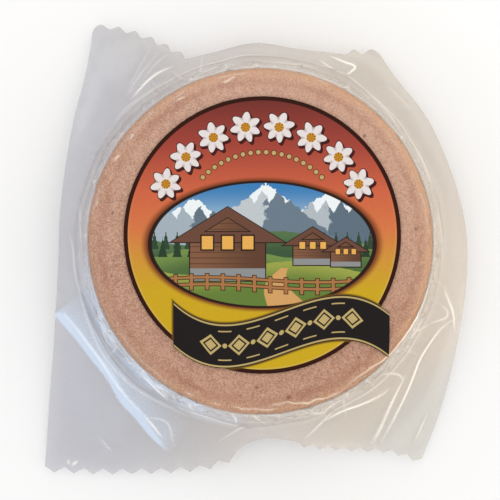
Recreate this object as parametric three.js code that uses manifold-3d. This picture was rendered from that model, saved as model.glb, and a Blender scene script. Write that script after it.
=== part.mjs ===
import * as THREE from 'three';
import { ParametricGeometry } from 'three/addons/geometries/ParametricGeometry.js';
import { mergeVertices } from 'three/addons/utils/BufferGeometryUtils.js';
import Module from 'manifold-3d';

// A half wheel of washed-rind cheese, cut flat, sealed in a clear vacuum pouch with a label on its face.
// Millimetres, +Z up. The origin lies on the wheel's axis, in the plane of its cut face.

// The wheel inside its film
const WHEEL_RADIUS = 56;
const WHEEL_HEIGHT = 40;
const SHOULDER_RADIUS = 6;
const FACE_RADIUS = WHEEL_RADIUS - SHOULDER_RADIUS;

// The film leaves the shoulder at this angle and tents out to the weld, where both films meet
const SHOULDER_ANGLE = THREE.MathUtils.degToRad(75);
const WELD_RADIUS = 62.5;
const WELD_HEIGHT = 13;
const SKIRT_DROP = 14;
const SKIRT_FLARE = 4;
const BASE_BULGE = 2;

// The ears of the pouch, both films together
const EAR_THICKNESS = 0.8;
const SMOOTH_STEP = 5;

// The stations of one meridian of the pouch
const SHOULDER_STEPS = 3;
const SKIRT_STEPS = 5;
const EAR_STEPS = 4;
const BASE_STEPS = 3;

// The cut edge of the pouch, anticlockwise seen from above: the points of each stretch as x, y and
// height, how many zigzag teeth it has and how deep they are. Each stretch starts where the one before
// it ends.
const EDGES = [
  {
    teeth: 0,
    points: [
      [56, -75, 3],
      [62.5, -58, 4],
      [67.5, -37, 6],
      [70.3, -16.5, 9],
      [70.5, 2.5, 10],
      [66.5, 20.5, 10],
      [58, 41, 9],
      [47.5, 55.5, 7],
      [41, 65, 5],
    ],
  },
  { teeth: 2, depth: 1.5, points: [[41, 65, 5], [29.5, 64.5, 7]] },
  { teeth: 0, points: [[29.5, 64.5, 7], [13.5, 66, 9], [-1.5, 68, 9], [-15.5, 65, 9], [-25.5, 62.5, 8]] },
  {
    teeth: 6,
    depth: 1.5,
    points: [[-25.5, 62.5, 8], [-31.5, 66, 6], [-41, 70.5, 5], [-52, 73.5, 4], [-57.5, 73, 4]],
  },
  {
    teeth: 0,
    points: [
      [-57.5, 73, 4],
      [-60, 57.5, 6],
      [-64, 40, 9],
      [-67.5, 14, 12],
      [-68.5, -8, 12],
      [-70.5, -33.5, 8],
      [-72.5, -54.5, 5],
      [-74.3, -77.5, 3],
    ],
  },
  {
    teeth: 10,
    depth: 2.1,
    points: [
      [-74.3, -77.5, 3],
      [-54.5, -78.3, 3],
      [-34.5, -78, 4],
      [-21.5, -77, 5],
      [-14.5, -75.3, 6],
      [-8.5, -72.5, 7],
    ],
  },
  { teeth: 0, points: [[-8.5, -72.5, 7], [-3.5, -68.5, 9], [4, -67, 10], [12.5, -68.5, 9]] },
  {
    teeth: 8,
    depth: 1.5,
    points: [[12.5, -68.5, 9], [24, -70, 7], [38, -71, 5], [45.5, -71.5, 5], [50, -73, 4], [56, -75, 3]],
  },
];

// The label: a disc with a ribbon across its lower part, whose ends run past the disc
const LABEL_RADIUS = 44;
const LABEL_CENTRE = new THREE.Vector2(0.5, 2);
const LABEL_THICKNESS = 0.3;
const LABEL_GAP = 0.1;
const LABEL_SIDES = 96;
const LABEL_REACH = SHOULDER_ANGLE;

// The ribbon, measured from the label's centre: its middle, its upright height, its two ends, and how far
// out from its middle and how high it crests on the right, as it dips on the left
const RIBBON_MIDDLE = new THREE.Vector2(6.75, -30.7);
const RIBBON_HEIGHT = 14.2;
const RIBBON_LEFT = -28.2;
const RIBBON_RIGHT = 40.4;
const RIBBON_CREST = new THREE.Vector2(18.5, 4.5);
const RIBBON_STEPS = 20;

const wasm = await Module();
wasm.setup();

// The points of one stretch of the cut edge, without its last one. A tooth stands out from the
// stretch, half way between two points that lie on it.
function edgePoints({ teeth, depth, points }) {
  const curve = new THREE.CatmullRomCurve3(points.map((p) => new THREE.Vector3(...p)), false, 'catmullrom');
  const steps = teeth ? 2 * teeth : Math.ceil(curve.getLength() / SMOOTH_STEP);
  return Array.from({ length: steps }, (_, step) => {
    const point = curve.getPointAt(step / steps);
    if (teeth && step % 2) {
      const along = curve.getTangentAt(step / steps).setZ(0).normalize();
      point.addScaledVector(new THREE.Vector3(along.y, -along.x, 0), depth);
    }
    return point;
  });
}

// The shoulder of the wheel from its face outwards, as radius and height, lifted off by an offset
function shoulderPoint(angle, offset) {
  const radius = SHOULDER_RADIUS + offset;
  const middle = WHEEL_HEIGHT - SHOULDER_RADIUS;
  return new THREE.Vector2(FACE_RADIUS + radius * Math.sin(angle), middle + radius * Math.cos(angle));
}

// The skirt from the shoulder down to the weld, and the film under it from the weld to the base,
// as radius and height
function skirtCurve() {
  const start = shoulderPoint(SHOULDER_ANGLE, 0);
  const end = new THREE.Vector2(WELD_RADIUS, WELD_HEIGHT);
  const downwards = new THREE.Vector2(Math.cos(SHOULDER_ANGLE), -Math.sin(SHOULDER_ANGLE));
  const leave = start.clone().addScaledVector(downwards, SKIRT_DROP);
  const arrive = new THREE.Vector2(WELD_RADIUS - SKIRT_FLARE, WELD_HEIGHT);
  return new THREE.CubicBezierCurve(start, leave, arrive, end);
}

function baseCurve() {
  const weld = new THREE.Vector2(WELD_RADIUS, WELD_HEIGHT - EAR_THICKNESS);
  const waist = new THREE.Vector2(WHEEL_RADIUS + BASE_BULGE, WELD_HEIGHT / 2);
  return new THREE.QuadraticBezierCurve(weld, waist, new THREE.Vector2(WHEEL_RADIUS, 0));
}

// One meridian: from the middle of the face over shoulder, skirt and ear to a point of the cut edge,
// and back below it to the middle of the base
function meridian(edgePoint) {
  const outwards = new THREE.Vector3(edgePoint.x, edgePoint.y, 0).normalize();
  const place = ({ x, y }) => outwards.clone().multiplyScalar(x).setZ(y);
  const shoulder = Array.from({ length: SHOULDER_STEPS }, (_, step) =>
    shoulderPoint((SHOULDER_ANGLE * step) / SHOULDER_STEPS, 0));
  const skirt = skirtCurve().getPoints(SKIRT_STEPS);
  const base = baseCurve().getPoints(BASE_STEPS);
  const weld = place(skirt.at(-1));
  const ear = Array.from({ length: EAR_STEPS }, (_, step) =>
    weld.clone().lerp(edgePoint, (step + 1) / EAR_STEPS));
  const earBelow = ear.map((point) => point.clone().setZ(point.z - EAR_THICKNESS)).reverse();
  return [
    new THREE.Vector3(0, 0, WHEEL_HEIGHT),
    ...shoulder.map(place),
    ...skirt.map(place),
    ...ear,
    ...earBelow,
    ...base.map(place),
    new THREE.Vector3(0, 0, 0),
  ];
}

// The pouch drawn tight over the half wheel, as one closed surface of meridians
function pouchGeometry() {
  const meridians = EDGES.flatMap(edgePoints).map(meridian);
  const stations = meridians[0].length - 1;
  const surface = (along, around, target) => {
    const line = meridians[Math.round(around * meridians.length) % meridians.length];
    target.copy(line[Math.round(along * stations)]);
  };
  return new ParametricGeometry(surface, stations, meridians.length);
}

// A closed geometry as a solid that can be joined and cut
function solid(geometry) {
  geometry.deleteAttribute('normal');
  geometry.deleteAttribute('uv');
  const { attributes, index } = mergeVertices(geometry);
  const vertProperties = attributes.position.array;
  const triVerts = Uint32Array.from(index.array);
  return new wasm.Manifold(new wasm.Mesh({ numProp: 3, vertProperties, triVerts }));
}

// The label's outline as two shapes: the disc, and the ribbon between two like waves
function discShape() {
  return new THREE.Shape().absarc(LABEL_CENTRE.x, LABEL_CENTRE.y, LABEL_RADIUS, 0, 2 * Math.PI);
}

function ribbonShape() {
  const middle = LABEL_CENTRE.clone().add(RIBBON_MIDDLE);
  const edge = (x, rise) => {
    const along = (x - RIBBON_MIDDLE.x) / RIBBON_CREST.x;
    const wave = (RIBBON_CREST.y * (3 * along - along ** 3)) / 2;
    return new THREE.Vector2(LABEL_CENTRE.x + x, middle.y + wave + rise);
  };
  const columns = Array.from({ length: RIBBON_STEPS + 1 }, (_, step) =>
    THREE.MathUtils.lerp(RIBBON_LEFT, RIBBON_RIGHT, step / RIBBON_STEPS));
  const lower = columns.map((x) => edge(x, -RIBBON_HEIGHT / 2));
  const upper = columns.map((x) => edge(x, RIBBON_HEIGHT / 2));
  return new THREE.Shape([...lower, ...upper.reverse()]);
}

// A thin skin over the face and the shoulder, which the label is cut from
function skinGeometry() {
  const layer = (offset) => [
    new THREE.Vector2(0, WHEEL_HEIGHT + offset),
    ...Array.from({ length: SHOULDER_STEPS + 1 }, (_, step) =>
      shoulderPoint((LABEL_REACH * step) / SHOULDER_STEPS, offset)),
  ];
  const profile = [...layer(LABEL_GAP), ...layer(LABEL_GAP + LABEL_THICKNESS).reverse()];
  return new THREE.LatheGeometry(profile, LABEL_SIDES).rotateX(Math.PI / 2);
}

function labelGeometry() {
  const depth = 2 * WHEEL_HEIGHT;
  const stamp = (shape) =>
    solid(new THREE.ExtrudeGeometry(shape, { depth, bevelEnabled: false, curveSegments: LABEL_SIDES }));
  const label = solid(skinGeometry()).intersect(stamp(discShape()).add(stamp(ribbonShape()))).getMesh();
  const geometry = new THREE.BufferGeometry();
  geometry.setAttribute('position', new THREE.BufferAttribute(label.vertProperties, 3));
  geometry.setIndex(new THREE.BufferAttribute(label.triVerts, 1));
  return geometry;
}

const film = new THREE.MeshStandardMaterial({
  color: 0xc8c4c2,
  roughness: 0.15,
  metalness: 0,
  transparent: true,
  opacity: 0.35,
});
const paper = new THREE.MeshStandardMaterial({ color: 0xcd7a30, roughness: 0.45, metalness: 0 });

const pouch = new THREE.Mesh(pouchGeometry(), film);
pouch.name = 'pouch';

const label = new THREE.Mesh(labelGeometry(), paper);
label.name = 'label';

const pack = new THREE.Group();
pack.add(pouch, label);

export default pack;
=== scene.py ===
"""A half wheel of washed-rind cheese in a clear vacuum pouch, modelled over its CAD frame.

Laid out as a Blender add-on and run as a script. Shapes are worked out in millimetres and scaled to
metres as each mesh is finished.
"""

import math
import random

import bmesh
import bpy
import numpy as np
from bpy.props import FloatProperty, FloatVectorProperty, IntProperty, PointerProperty
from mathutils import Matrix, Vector, noise


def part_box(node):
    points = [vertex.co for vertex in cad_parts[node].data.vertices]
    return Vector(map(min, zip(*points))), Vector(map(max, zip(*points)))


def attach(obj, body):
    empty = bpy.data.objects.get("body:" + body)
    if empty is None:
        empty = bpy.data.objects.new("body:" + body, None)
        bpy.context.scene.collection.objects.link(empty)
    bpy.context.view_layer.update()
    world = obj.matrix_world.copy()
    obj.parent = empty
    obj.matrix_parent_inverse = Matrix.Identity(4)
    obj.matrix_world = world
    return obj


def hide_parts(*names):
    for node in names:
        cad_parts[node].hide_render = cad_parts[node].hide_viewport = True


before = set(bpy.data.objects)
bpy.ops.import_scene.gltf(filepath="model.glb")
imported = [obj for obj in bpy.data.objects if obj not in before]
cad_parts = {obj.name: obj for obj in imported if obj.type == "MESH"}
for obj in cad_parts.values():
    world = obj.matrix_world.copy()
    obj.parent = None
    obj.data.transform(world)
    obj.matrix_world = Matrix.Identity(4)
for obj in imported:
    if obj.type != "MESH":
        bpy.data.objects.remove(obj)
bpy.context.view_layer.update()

bl_info = {
    "name": "Vacuum-packed half wheel",
    "version": (1, 0, 0),
    "blender": (4, 5, 0),
    "location": "3D View > Sidebar > Half wheel",
    "description": "A half wheel of cheese, its clear pouch and its printed label",
    "category": "Add Mesh",
}

MM = 0.001
BODY = "root"

# Read from the frame: the height of the pack and the radius of the flat base it stands on
PACK_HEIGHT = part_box("pouch")[1].z
BASE_RADIUS = max(
    vertex.co.xy.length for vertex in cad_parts["pouch"].data.vertices if vertex.co.z < 0.01 * MM
)


def length(name, description, default_mm):
    """A length property, given in millimetres and stored in metres."""
    return FloatProperty(
        name=name, description=description, default=default_mm * MM, unit="LENGTH", precision=5
    )


def color(name, description, red, green, blue):
    """A colour property, given in the 0 to 255 of a screen colour."""
    return FloatVectorProperty(
        name=name,
        description=description,
        default=(red / 255, green / 255, blue / 255),
        min=0,
        max=1,
        subtype="COLOR_GAMMA",
    )


class WheelSettings(bpy.types.PropertyGroup):
    """Sizes and colours of the half wheel."""

    clearance: length("Clearance", "Gap between the rind and the film over it", 0.25)
    shoulder: length("Shoulder", "Radius of the rounded upper edge", 6)
    wobble: length("Wobble", "How far the rim strays from a true circle", 0.45)
    groove: length("Groove", "Depth of the line that runs round the face inside the shoulder", 0.35)
    relief: length("Relief", "Height of the rind's unevenness", 0.22)
    steps: IntProperty(name="Steps", description="Faces around the wheel", default=480, min=24)
    rind: color("Rind", "Main colour of the washed rind", 198, 149, 121)
    rind_pale: color("Pale rind", "Dry, pale patches of the rind", 226, 184, 158)
    rind_dark: color("Dark rind", "Damp, reddish patches of the rind", 158, 104, 78)
    # Partly the shoulder's own tint, partly painted light that lightens the sloping shoulder
    shoulder_tint_and_light: color("Shoulder tint", "Colour of the band round the shoulder", 229, 179, 135)
    paste: color("Paste", "Colour of the cut face", 236, 214, 158)


class FilmSettings(bpy.types.PropertyGroup):
    """Sizes and colours of the clear pouch."""

    weld_radius: length("Weld radius", "Where the upper and lower films meet", 62.5)
    weld_height: length("Weld height", "Height of that line over the base", 13)
    skirt_drop: length("Skirt drop", "How far the film falls straight off the shoulder", 14)
    skirt_flare: length("Skirt flare", "How softly the film turns out into the ears", 4)
    base_bulge: length("Base bulge", "How far the lower film stands off the wheel's side", 2)
    ear_gap: length("Ear gap", "Distance between the two films of an ear", 0.5)
    spacing: length("Spacing", "Distance between the meridians along the cut edge", 1.05)
    crease_spacing: length("Crease spacing", "The same distance where an ear is creased", 0.55)
    pleats: IntProperty(name="Pleats", description="Gathers round the skirt", default=76, min=0)
    pleat_height: length("Pleat height", "Height of the tallest gather", 1.3)
    # The film's grey haze with painted light: cool light from the left, warm light from the right
    haze_in_cool_light: color("Left tint", "Colour of the film's haze on the left", 200, 200, 208)
    haze_in_warm_light: color("Right tint", "Colour of the film's haze on the right", 229, 216, 200)
    # Colour of the painted reflection of the sky
    gleam: color("Gleam", "Colour of a slope that mirrors the sky", 210, 226, 248)
    # Colour of the painted highlights on the film's crests
    glint: color("Glint", "Colour of the creases' crests", 255, 250, 240)
    seed: IntProperty(name="Seed", description="Which gathers are drawn", default=11)


class LabelSettings(bpy.types.PropertyGroup):
    """Sizes and colours of the printed label."""

    thickness: length("Thickness", "Thickness of the label", 0.16)
    gap: length("Gap", "Glue between the film and the label", 0.05)
    ring: color("Ring", "Dark line round the label", 48, 17, 7)
    ribbon: color("Ribbon", "Ground of the ribbon", 27, 23, 22)
    gold: color("Gold", "Piping and ornaments of the ribbon", 186, 164, 108)
    blossom: color("Blossom", "Garland over the picture", 224, 216, 214)


class StageSettings(bpy.types.PropertyGroup):
    """The floor, the lights and the camera."""

    camera_height: length("Camera height", "Height of the camera over the floor", 450)
    camera_x: length("Camera x", "Place of the camera beside the wheel's axis", -3.4)
    camera_y: length("Camera y", "Place of the camera before the wheel's axis", -2.75)
    lens: FloatProperty(name="Lens", description="Focal length in millimetres", default=93, min=10)
    floor_size: length("Floor size", "Side of the square floor", 4000)
    floor: color("Floor", "Colour of the floor", 250, 250, 250)


GROUPS = {
    "half_wheel": WheelSettings,
    "pouch_film": FilmSettings,
    "pack_label": LabelSettings,
    "pack_stage": StageSettings,
}


def in_mm(settings, name):
    """A length setting in millimetres."""
    return getattr(settings, name) / MM


def linear(screen_color):
    """A screen colour, as 0 to 1, as the linear RGBA that a shader takes."""
    return tuple(((c + 0.055) / 1.055) ** 2.4 if c > 0.04045 else c / 12.92 for c in screen_color) + (1.0,)


def paint(red, green, blue):
    """A screen colour of 0 to 255 as linear RGBA."""
    return linear((red / 255, green / 255, blue / 255))


class Value:
    """A socket of a material, on which Python's own arithmetic adds Math nodes."""

    def __init__(self, tree, socket=None):
        self.tree = tree
        self.socket = socket

    def node(self, kind, settings=None, sockets=None, output=0):
        """Adds any node: its settings are set first, then its sockets are filled or linked."""
        made = self.tree.nodes.new(kind)
        for name, setting in (settings or {}).items():
            if name == "stops":
                set_stops(made.color_ramp, setting)
            else:
                setattr(made, name, setting)
        for key, entry in (sockets or {}).items():
            if isinstance(entry, Value):
                self.tree.links.new(entry.socket, made.inputs[key])
            else:
                made.inputs[key].default_value = entry
        return Value(self.tree, None if output is None else made.outputs[output])

    def math(self, operation, *others):
        """A Math node whose first number is this one."""
        numbers = dict(enumerate((self, *others)))
        return self.node("ShaderNodeMath", {"operation": operation}, numbers)

    def __add__(self, other):
        return self.math("ADD", other)

    def __radd__(self, other):
        return self.math("ADD", other)

    def __sub__(self, other):
        return self.math("SUBTRACT", other)

    def __rsub__(self, other):
        return self.node("ShaderNodeMath", {"operation": "SUBTRACT"}, {0: other, 1: self})

    def __mul__(self, other):
        return self.math("MULTIPLY", other)

    def __rmul__(self, other):
        return self.math("MULTIPLY", other)

    def __truediv__(self, other):
        return self.math("DIVIDE", other)

    def __rtruediv__(self, other):
        return self.node("ShaderNodeMath", {"operation": "DIVIDE"}, {0: other, 1: self})

    def __neg__(self):
        return self.math("MULTIPLY", -1.0)

    def __abs__(self):
        return self.math("ABSOLUTE")

    def least(self, other):
        """The smaller of two numbers."""
        return self.math("MINIMUM", other)

    def most(self, other):
        """The larger of two numbers."""
        return self.math("MAXIMUM", other)

    def hypot(self, other):
        """The length of two numbers at right angles."""
        return (self * self + other * other).math("SQRT")

    def step(self, start, end):
        """A smooth step from 0 at start to 1 at end, which may be the smaller of the two."""
        sockets = {0: self, 1: start, 2: end}
        return self.node("ShaderNodeMapRange", {"interpolation_type": "SMOOTHSTEP"}, sockets)

    def inside(self, soft=0.14):
        """1 where this distance is below zero, 0 where it is above, with a soft edge."""
        return self.step(soft / 2, -soft / 2)

    def mix(self, below, above):
        """A colour that goes from one to another as this number goes from 0 to 1."""
        return self.node("ShaderNodeMix", {"data_type": "RGBA"}, {0: self, 6: below, 7: above}, output=2)

    def parts(self):
        """The x, y and z of a vector."""
        split = self.node("ShaderNodeSeparateXYZ", None, {0: self})
        return tuple(Value(self.tree, socket) for socket in split.socket.node.outputs)

    def stretched(self, scale, turn=0.0):
        """A vector turned about Z and scaled along its new axes."""
        sockets = {"Vector": self, "Angle": turn}
        turned = self.node("ShaderNodeVectorRotate", {"rotation_type": "Z_AXIS"}, sockets)
        return self.node("ShaderNodeVectorMath", {"operation": "MULTIPLY"}, {0: turned, 1: scale})

    def noise(self, scale, detail=3.0, roughness=0.55):
        """Soft noise from 0 to 1 over this vector."""
        sockets = {"Vector": self, "Scale": scale, "Detail": detail, "Roughness": roughness}
        return self.node("ShaderNodeTexNoise", None, sockets)

    def cells(self, scale, feature="F1", output="Distance"):
        """Distance to the nearest of scattered points over this vector, or the colour of its cell."""
        sockets = {"Vector": self, "Scale": scale}
        return self.node("ShaderNodeTexVoronoi", {"feature": feature}, sockets, output)


def set_stops(ramp, stops):
    """Gives a colour ramp its stops, each a position and a colour."""
    while len(ramp.elements) > 1:
        ramp.elements.remove(ramp.elements[-1])
    for place, (position, stop) in enumerate(stops):
        element = ramp.elements.new(position) if place else ramp.elements[0]
        element.position = position
        element.color = stop


def new_material(name):
    """An empty material, and the place on its surface in millimetres."""
    material = bpy.data.materials.new(name)
    material.use_nodes = True
    material.node_tree.nodes.clear()
    start = Value(material.node_tree)
    place = start.node("ShaderNodeTexCoord", None, None, "Object")
    scaled = start.node("ShaderNodeVectorMath", {"operation": "SCALE"}, {0: place, "Scale": 1 / MM})
    return material, scaled


def bumps(height, strength, distance):
    """A bumped normal from a height field."""
    sockets = {"Height": height, "Strength": strength, "Distance": distance}
    return height.node("ShaderNodeBump", None, sockets)


def finish_material(shader):
    """Links a shader to the material's output."""
    shader.node("ShaderNodeOutputMaterial", None, {"Surface": shader}, output=None)


def finish_piece(name, bm, material, sharp_angle=math.radians(40)):
    """Turns a bmesh in millimetres into a smooth-shaded piece in metres that rides on the pack."""
    bmesh.ops.scale(bm, vec=(MM, MM, MM), verts=bm.verts)
    for face in bm.faces:
        face.smooth = True
    for edge in bm.edges:
        edge.smooth = not edge.is_manifold or edge.calc_face_angle() < sharp_angle
    mesh = bpy.data.meshes.new(name)
    bm.to_mesh(mesh)
    bm.free()
    mesh.materials.append(material)
    piece = bpy.data.objects.new(name, mesh)
    bpy.context.scene.collection.objects.link(piece)
    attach(piece, BODY)
    return piece


# The half wheel

# Places and radii of the pits that show on the face, in millimetres
PITS = [
    (-1.2, -46.5, 0.8),
    (8.9, -49.7, 0.8),
    (31.1, -37, 0.7),
    (-6.5, -49, 0.5),
    (33, 33.5, 0.6),
    (-47, 9, 0.6),
    (-47.3, -11, 0.5),
    (49.3, 4, 0.6),
]
PIT_DEPTH = 0.6
GROOVE_RADIUS = 50.3
GROOVE_WIDTH = 1.0
LOWER_EDGE = 1.2
FACE_SWELL = 0.25
SWELL_SIZE = 26

# How many steps each stretch of the wheel's profile is cut into
FACE_STEPS = 56
SHOULDER_STEPS = 16
SIDE_STEPS = 36
LOWER_EDGE_STEPS = 5
CUT_STEPS = 24


def rim_wobble(angle):
    """How far the rim lies outside a true circle at an angle, from -1 to 1."""
    around = Vector((math.cos(angle), math.sin(angle), 0))
    return noise.noise(around * 1.3) + 0.5 * noise.noise(around * 3.1 + Vector((5, 5, 5)))


def face_swell(x, y, z):
    """The slow rise and fall of the face, which film and label follow, dying away towards the base."""
    return FACE_SWELL * noise.noise(Vector((x, y, 0)) / SWELL_SIZE) * max(0.0, z / (BASE_RADIUS / MM))


def arc(x, z, radius, start, end, steps):
    """Points of an arc about x and z, whose angles are measured from straight up towards the outside."""
    return [(x + radius * math.sin(a), z + radius * math.cos(a)) for a in np.linspace(start, end, steps + 1)]


def wheel_profile(wheel):
    """Radius and height of the half wheel from the middle of its face to the middle of its cut face."""
    clearance = in_mm(wheel, "clearance")
    shoulder = in_mm(wheel, "shoulder")
    radius = BASE_RADIUS / MM - clearance
    top = PACK_HEIGHT / MM - clearance
    foot = clearance + LOWER_EDGE
    flat = radius - shoulder
    face = [(x, top) for x in np.linspace(0, flat, FACE_STEPS, endpoint=False)]
    bend = arc(flat, top - shoulder, shoulder, 0, math.pi / 2, SHOULDER_STEPS)
    side = [(radius, z) for z in np.linspace(top - shoulder, foot, SIDE_STEPS + 1)[1:]]
    edge = arc(radius - LOWER_EDGE, foot, LOWER_EDGE, math.pi / 2, math.pi, LOWER_EDGE_STEPS)[1:]
    cut = [(x, clearance) for x in np.linspace(edge[-1][0], 0, CUT_STEPS + 1)[1:]]
    return face + bend + side + edge + cut


def rind_offset(wheel, place):
    """How far the rind stands out at a place on the wheel."""
    relief = in_mm(wheel, "relief")
    across = place.xy.length
    offset = relief * (0.7 * noise.noise(place / 5) + 0.35 * noise.noise(place / 1.6) - 0.6)
    on_face = place.z > PACK_HEIGHT / MM - 2
    if on_face:
        stray = 0.6 * noise.noise(place / 9)
        fading = 0.35 + 0.65 * max(0.0, noise.noise(place / 14) + 0.5)
        distance = (across - GROOVE_RADIUS + stray) / GROOVE_WIDTH
        offset -= in_mm(wheel, "groove") * fading * math.exp(-distance * distance)
        for x, y, radius in PITS:
            nearness = ((place.x - x) ** 2 + (place.y - y) ** 2) / radius**2
            offset -= PIT_DEPTH * math.exp(-nearness)
    return offset


def wheel_mesh(wheel):
    """The half wheel spun from its profile, with the rind's relief pressed into it."""
    bm = bmesh.new()
    points = [bm.verts.new((radius, 0, height)) for radius, height in wheel_profile(wheel)]
    lines = [bm.edges.new(pair) for pair in zip(points, points[1:])]
    bmesh.ops.spin(
        bm,
        geom=points + lines,
        cent=(0, 0, 0),
        axis=(0, 0, 1),
        angle=2 * math.pi,
        steps=wheel.steps,
        use_merge=True,
    )
    bmesh.ops.remove_doubles(bm, verts=bm.verts, dist=0.001)
    bmesh.ops.recalc_face_normals(bm, faces=bm.faces)
    bm.normal_update()
    wobble = in_mm(wheel, "wobble")
    radius = BASE_RADIUS / MM
    cut_level = in_mm(wheel, "clearance") + 0.01
    for vertex in bm.verts:
        place = vertex.co.copy()
        across = place.xy.length
        if place.z > cut_level:
            vertex.co += vertex.normal * rind_offset(wheel, place)
        if across > 0:
            out = wobble * rim_wobble(math.atan2(place.y, place.x)) * (across / radius) ** 4
            vertex.co.xy *= 1 + out / across
        vertex.co.z += face_swell(*place)
    return bm


def face_tone(wheel, place, slow, mottle, grain, sand):
    """The face of the rind: damp and dry patches, flecks and grains, with painted shade that darkens it
    towards the bottom and painted light that lightens it towards the upper right.
    """
    x, y, _ = place.parts()
    rind, pale, dark = linear(wheel.rind), linear(wheel.rind_pale), linear(wheel.rind_dark)
    strokes = place.stretched((0.9, 0.2, 0.4), math.radians(-14)).noise(1.0, 4.0, 0.7)
    weave = place.stretched((0.5, 2.4, 1.0), math.radians(28)).noise(1.0, 2.0, 0.5)
    damp = (slow * 0.35 + mottle * 0.65).step(0.46, 0.6)
    dry = (strokes * 0.35 + grain * 0.65).step(0.47, 0.6)
    flecks = (grain * 0.75 + weave * 0.25).step(0.47, 0.38)
    tone = (damp * 0.5).mix(rind, dark)
    tone = (dry * 0.62).mix(tone, pale)
    tone = (flecks * 0.6).mix(tone, dark)
    tone = (sand.step(0.5, 0.6) * 0.75).mix(tone, pale)
    tone = (sand.step(0.48, 0.38) * 0.62).mix(tone, dark)
    # Painted shade: the face grows darker and redder towards the bottom
    tone = (y.step(45.0, -50.0) * 0.2).mix(tone, paint(172, 112, 78))
    # Painted light: the face grows lighter towards the upper right
    tone = ((x * 0.5 + y).step(-20.0, 50.0) * 0.3).mix(tone, paint(226, 184, 162))
    height = grain * 0.3 + strokes * 0.3 + weave * 0.15 + mottle * 0.5
    return tone, 0.62 - damp * 0.12 + dry * 0.1, height


def rim_tone(wheel, place, tone, slow, mottle, grain, sand):
    """The face's colour with the rind's rim over it: the pale shoulder, its own tint with painted light that
    makes up for its slope, stronger on the right; the dark seam, scratches, and pits filled with painted
    shade.
    """
    x, y, z = place.parts()
    across = x.hypot(y)
    dark = linear(wheel.rind_dark)
    on_face = z.step(35.0, 37.0)
    band = (across + (mottle - 0.5) * 7.0).step(51.6, 54.0)
    # Painted light: the shoulder band is lightened to make up for its slope, more on the right and less on
    # the left
    lit = 0.12 + sand.step(0.4, 0.6) * 0.58 + x.step(20.0, 56.0) * 0.18 - x.step(-25.0, -50.0) * 0.3
    tone = (band * lit.most(0.0)).mix(tone, linear(wheel.shoulder_tint_and_light))
    seam = (across - GROOVE_RADIUS - 0.4 + (mottle - 0.5) * 6.0) / 1.7
    smudge = (1 - abs(seam).least(1.0)) * (0.2 + grain.step(0.46, 0.54) * 0.8) * on_face
    tone = (smudge * (0.35 + slow.step(0.42, 0.6) * 0.4)).mix(tone, paint(162, 96, 60))
    scratches = place.stretched((2.4, 0.2, 0.6), math.radians(18)).noise(1.0, 2.0, 0.5).step(0.43, 0.35)
    tone = (scratches * (x - y).step(20.0, 60.0) * 0.45).mix(tone, dark)
    side = z.step(32.0, 26.0)
    tone = (side * (0.35 + mottle * 0.5)).mix(tone, dark)
    # Dark specks that are the rind's own, and painted shade that fills the pits
    specks_and_pit_shade = place.cells(0.22).step(0.07, 0.035) * grain.step(0.45, 0.6)
    for pit_x, pit_y, radius in PITS:
        specks_and_pit_shade = specks_and_pit_shade.most((x - pit_x).hypot(y - pit_y).step(radius, 0.4 * radius) * on_face)
    tone = (specks_and_pit_shade * 0.6).mix(tone, paint(120, 66, 42))
    cut = z.step(0.7, 0.4) * (across + mottle * 1.5).step(54.6, 53.2)
    return cut.mix(tone, mottle.step(0.35, 0.7).mix(linear(wheel.paste), paint(228, 200, 138)))


def rind_material(wheel):
    """Mottled, cloth-marked rind with a pale shoulder and a dark seam, and pale paste on the cut face."""
    material, place = new_material("washed_rind")
    slow = place.noise(0.055, 4.0, 0.6)
    mottle = place.noise(0.3, 5.0, 0.7)
    grain = place.noise(1.4, 4.0, 0.85)
    sand = place.noise(1.9, 3.0, 0.75)
    tone, rough, height = face_tone(wheel, place, slow, mottle, grain, sand)
    shader = place.node(
        "ShaderNodeBsdfPrincipled",
        None,
        {
            "Base Color": rim_tone(wheel, place, tone, slow, mottle, grain, sand),
            "Roughness": rough,
            "Specular IOR Level": 0.35,
            "Subsurface Weight": 0.08,
            "Subsurface Radius": (0.004, 0.002, 0.001),
            "Subsurface Scale": 0.5,
            "Normal": bumps(height, 1.0, MM),
        },
    )
    finish_material(shader)
    return material


# The pouch

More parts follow.
